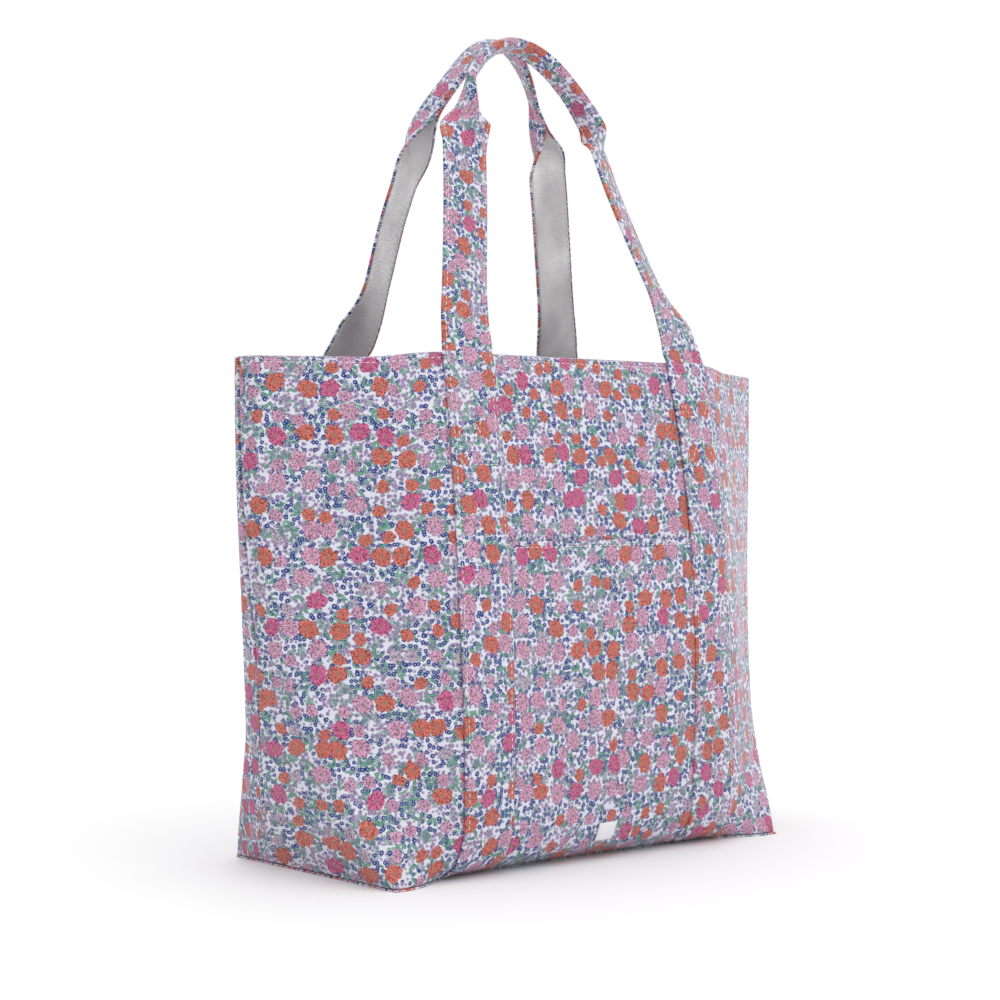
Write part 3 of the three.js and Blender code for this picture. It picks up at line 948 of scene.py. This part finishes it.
RIM_STITCH_DROP = 0.003
RIM_STITCH_END = 0.985
RIM_STEPS = 24
STITCH_OUT = 0.0001
WELT_STITCH_HEIGHT = 0.0009
WELT_STITCH_PITCH = 0.0065
rim_stitches = bmesh.new()
for side in SIDES.values():
    stops = [-HALF_CLOTH * RIM_STITCH_END, -STRAP_X - STRAP_WIDTH / 2, -STRAP_X + STRAP_WIDTH / 2]
    stops = stops + [-s for s in reversed(stops)]
    for start, end in zip(stops[::2], stops[1::2]):
        route = [start + (end - start) * i / RIM_STEPS for i in range(RIM_STEPS + 1)]
        route = [(s, rim_height(s) - RIM_STITCH_DROP) for s in route]
        sew(rim_stitches, cloth_line(side, route, STITCH_OUT))
add_stitches("rim_stitches", rim_stitches, "bag")

welt_stitches = bmesh.new()
ring = loop_round(0.0, WELT + STITCH_OUT)
ring.append(ring[0])
outward = [Vector((p.x, p.y, 0)).normalized() for p in ring]
raised = [p + Vector((0, 0, WELT_STITCH_HEIGHT)) for p in ring]
sew(welt_stitches, list(zip(raised, outward)), pitch=WELT_STITCH_PITCH)
add_stitches("welt_stitches", welt_stitches, "bag")

# --- Handles -----------------------------------------------------------------------------
# Each handle is the same covered webbing carried on above the rim: flat legs with the grey
# satin webbing showing on the inside, and a grip folded in half lengthwise and sewn.

cover_low, cover_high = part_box("front_handle_cover")
GRIP_TOP = 0.0061
HANDLE_RISE = cover_high.z - GRIP_TOP - HEIGHT
RIM_Y = RIM_HALF_DEPTH + STRAP_MID
HANDLE_TOP_Y = 0.0128
HANDLE_LEAN = math.atan2(RIM_Y - HANDLE_TOP_Y, HANDLE_RISE)
HANDLE_NARROWING = 0.93
FOLD_ANGLE = math.radians(93)
FOLD_ARC = 0.0036
# The handles' middle lines: across from the middle in mm, and the share of the rise. The twist
# of the left and right legs is in degrees, and each leg is pinched over a share of the length.
HANDLE_ROUTES = {
    "front": [(-116, 0), (-103.5, 0.22), (-89, 0.475), (-77, 0.72), (-70, 0.82), (-64, 0.875), (-53, 0.925),
              (-39, 0.972), (-21, 1.003), (0, 0.998), (20, 0.955), (36, 0.89), (47, 0.825), (57, 0.74),
              (62, 0.66), (69, 0.54), (86, 0.33), (108, 0.09), (116, 0)],
    "back": [(-116, 0), (-101, 0.09), (-92, 0.22), (-85, 0.47), (-70, 0.74), (-50, 0.885), (-26, 1.003),
             (0, 1.028), (25, 0.95), (48, 0.80), (66, 0.63), (88, 0.36), (108, 0.10), (116, 0)],
}
LEG_TWISTS = {"front": (4, -30), "back": (26, -8)}
GRIP_TWISTS = {"front": (-30, 0), "back": (0, 30)}
PINCHES = {"front": ((0.322, 0.356), (0.306, 0.350)), "back": ((0.265, 0.360), (0.280, 0.360))}
# How much sooner the outer half of each leg starts to fold than the inner one.
EARLY_FOLDS = {"front": (0.045, 0.0), "back": (0.02, 0.0)}
ROUTE_STEPS = 420
CURVE_STEPS = 40
UNFOLDED = 1e-3
# All of these are shares of a handle's length, except the cup's depth.
NARROWED_BY = 0.1
CUP_DEPTH = 0.0011
CUPPED_OVER = (0.02, 0.1)
TWISTED_BY = 0.12
UNTWISTED_AFTER = 0.06
GRIP_TURNS_OVER = (-0.012, 0.03)
GRIP_EASES_OVER = 0.11


def handle_line(name, side):
    """Even points along a handle's middle line, and the directions along, across and out of it."""
    stops = [Vector((x / MM, side * (RIM_Y + (HANDLE_TOP_Y - RIM_Y) * up), HEIGHT + HANDLE_RISE * up))
             for x, up in HANDLE_ROUTES[name]]
    stops = [2 * stops[0] - stops[1], *stops, 2 * stops[-1] - stops[-2]]
    fine = []
    for a, b, c, d in zip(stops, stops[1:], stops[2:], stops[3:]):
        for i in range(CURVE_STEPS):
            t = i / CURVE_STEPS
            fine.append(0.5 * (2 * b + (c - a) * t + (2 * a - 5 * b + 4 * c - d) * t * t
                               + (3 * b - a - 3 * c + d) * t ** 3))
    fine.append(stops[-2])
    fine = np.array(fine)
    lengths = np.concatenate([[0], np.cumsum(np.linalg.norm(np.diff(fine, axis=0), axis=1))])
    even = np.linspace(0, lengths[-1], ROUTE_STEPS + 1)
    line = np.stack([np.interp(even, lengths, fine[:, k]) for k in range(3)], axis=1)
    run = np.gradient(line, axis=0)
    run /= np.linalg.norm(run, axis=1)[:, None]
    out = np.array([0, side * math.cos(HANDLE_LEAN), math.sin(HANDLE_LEAN)])
    across = np.cross(out, run)
    across /= np.linalg.norm(across, axis=1)[:, None]
    return line, run, across, out, lengths[-1]


def folded_section(d, h, angle, mean_angle):
    """Where a point of the flat section goes when its half folds back from the middle by an
    angle: across, and out."""
    if angle < UNFOLDED:
        return d, h + STRAP_WIDTH / 4 * math.sin(mean_angle)
    radius = FOLD_ARC / angle
    reach = abs(d)
    sign = 1.0 if d >= 0 else -1.0
    turned = angle * min(reach / FOLD_ARC, 1.0)
    straight = max(reach - FOLD_ARC, 0.0)
    a = radius * math.sin(turned) + straight * math.cos(angle) + h * math.sin(turned)
    b = -radius * (1 - math.cos(turned)) - straight * math.sin(angle) + h * math.cos(turned)
    return sign * a, b + STRAP_WIDTH / 4 * math.sin(mean_angle)


def handle_point(name, route, d, h, u):
    """A point of a handle's section at a share of its length."""
    line, run, across, out, length = route
    at = min(max(u, 0.0), 1.0) * ROUTE_STEPS
    i = min(int(at), ROUTE_STEPS - 1)
    t = at - i
    near = 0 if u < 0.5 else 1
    from_rim = min(u, 1 - u)
    pinch = PINCHES[name][near]
    late = smooth_step(*pinch, from_rim)
    early = smooth_step(pinch[0] - EARLY_FOLDS[name][near], pinch[1], from_rim)
    folded = early if d > 0 else late
    narrow = 1 - (1 - HANDLE_NARROWING) * smooth_step(0, NARROWED_BY, from_rim)
    a, b = folded_section(d * narrow, h, FOLD_ANGLE * folded, FOLD_ANGLE * (early + late) / 2)
    cupped = CUP_DEPTH * smooth_step(*CUPPED_OVER, from_rim) * (1 - folded)
    b -= cupped * (d / (STRAP_WIDTH / 2)) ** 2
    twist = math.radians(LEG_TWISTS[name][near]) * smooth_step(0, TWISTED_BY, from_rim)
    twist *= 1 - smooth_step(pinch[0], pinch[1] + UNTWISTED_AFTER, from_rim)
    leaning = smooth_step(pinch[1] + GRIP_TURNS_OVER[0], pinch[1] + GRIP_TURNS_OVER[1], from_rim)
    leaning *= smooth_step(0.0, GRIP_EASES_OVER, 0.5 - from_rim)
    twist += math.radians(GRIP_TWISTS[name][near]) * leaning
    a, b = a * math.cos(twist) - b * math.sin(twist), a * math.sin(twist) + b * math.cos(twist)
    side_way = across[i] * (1 - t) + across[i + 1] * t
    middle = line[i] * (1 - t) + line[i + 1] * t
    return Vector(middle + side_way * a + out * b)


JOIN = 0.030
webbing, tree = new_material("silver_grey_herringbone_webbing")
web_uv = add("TexCoord").outputs["UV"]
web_mm = add("VectorMath", {0: web_uv, "Scale": MM}, operation="SCALE")
web_across, web_along, _ = add("SeparateXYZ", {0: web_mm}).outputs
# The herringbone's ribs are 1.2 mm apart, and are drawn at 2 mm so that they show.
zigzag = add("Math", {0: web_across, 1: 9.0}, operation="DIVIDE")
zigzag = add("Math", {0: zigzag}, operation="FRACT")
zigzag = add("Math", {0: zigzag, 1: 0.5}, operation="SUBTRACT")
zigzag = add("Math", {0: zigzag}, operation="ABSOLUTE")
rib = add("Math", {0: zigzag, 1: 3.0, 2: web_along}, operation="MULTIPLY_ADD")
rib = add("Math", {0: rib, 1: 2 * math.pi / 2.0}, operation="MULTIPLY")
rib = add("Math", {0: rib}, operation="SINE")
rib = add("Math", {0: rib, 1: 0.5, 2: 0.5}, operation="MULTIPLY_ADD")
# Painted sheen: the webbing's colour runs from grey to near white in long soft patches, highlights painted
# into the colour. The herringbone's ribs add their own real light and dark stripes on top. The same noise
# also gives the webbing a slow ripple in its bump.
sheen_and_ripple_noise = add("TexNoise", {"Vector": web_uv, "Scale": 19.0, "Detail": 2.0})
painted_sheen = add("MapRange", {"Value": sheen_and_ripple_noise, "From Min": 0.39, "From Max": 0.67, "To Max": 0.78})
painted_sheen = add("Math", {0: rib, 1: 0.22, 2: painted_sheen}, operation="MULTIPLY_ADD")
web_colour_with_sheen = add("Mix", {0: painted_sheen, 6: linear("#c3bec1"), 7: linear("#f6f4f5")}, data_type="RGBA")
web_bump = add("Bump", {"Height": rib, "Strength": 0.35, "Distance": 0.0003})
web_bump = add("Bump", {"Height": sheen_and_ripple_noise, "Strength": 0.5, "Distance": 0.006, "Normal": web_bump})
add("OutputMaterial", {"Surface": add("BsdfPrincipled", {
    "Base Color": web_colour_with_sheen.outputs[2], "Roughness": 0.33, "Specular IOR Level": 0.8, "Sheen Weight": 0.2,
    "Normal": web_bump})})

WEB_HALF = 0.0216
WEB_OUT = -0.0011
WEB_CLOTH = 0.0013
WEB_COLUMNS = 16
# The stitches lie on the cover's face and on the webbing's.
STITCH_FACES = ((0.0011, 1), (-0.0013, -1))
for name, side in SIDES.items():
    route = handle_line(name, side)
    length = route[-1]
    ends = {}

    def joined(d, h, u):
        """A point of the handle, led at its ends into the strap on the wall."""
        key = (round(d, 6), round(h, 6), u < 0.5)
        if key not in ends:
            foot, at_foot = (-STRAP_X, 0) if u < 0.5 else (STRAP_X, -1)
            way = 1 if route[2][at_foot][0] > 0 else -1
            target = on_cloth(side, (foot + way * d * strap_scale) / HALF_CLOTH, HEIGHT, STRAP_MID + h)
            ends[key] = target - handle_point(name, route, d, h, 0.0 if u < 0.5 else 1.0)
        away = min(u, 1 - u) * length
        return handle_point(name, route, d, h, u) + ends[key] * (1 - smooth_step(0, JOIN, away))

    bm = bent_grid(
        ROUTE_STEPS, SECTION_COLUMNS,
        lambda u, v: joined(*section[round(v * SECTION_COLUMNS)], u),
        lambda u, v: (section[round(v * SECTION_COLUMNS)][0] + HANDLE_CUT + side * SIDE_CUT,
                      HEIGHT + u * length))
    cover = new_object(f"{name}_handle_print", face(bm, (0, side, 0)), printed_cloth)
    thicken(cover, COVER_CLOTH, -1)
    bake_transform(cover)
    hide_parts(f"{name}_handle_cover")

    bm = bent_grid(
        ROUTE_STEPS, WEB_COLUMNS,
        lambda u, v: joined(WEB_HALF * (2 * v - 1), WEB_OUT, u),
        lambda u, v: (WEB_HALF * (2 * v - 1), u * length))
    tape = new_object(f"{name}_handle_tape", face(bm, (0, -side, 0)), webbing)
    thicken(tape, WEB_CLOTH, -1)
    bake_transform(tape)
    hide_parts(f"{name}_handle_webbing")

    handle_stitches = bmesh.new()
    for d in (-STRAP_EDGE_STITCH, STRAP_EDGE_STITCH):
        for h, facing in STITCH_FACES:
            line = []
            for i in range(0, ROUTE_STEPS + 1, 2):
                u = i / ROUTE_STEPS
                point = joined(d, h, u)
                line.append((point, (joined(d, h + facing * NORMAL_STEP, u) - point).normalized()))
            sew(handle_stitches, line)
    stitched = add_stitches(f"{name}_handle_stitches", handle_stitches, "")
    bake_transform(stitched)
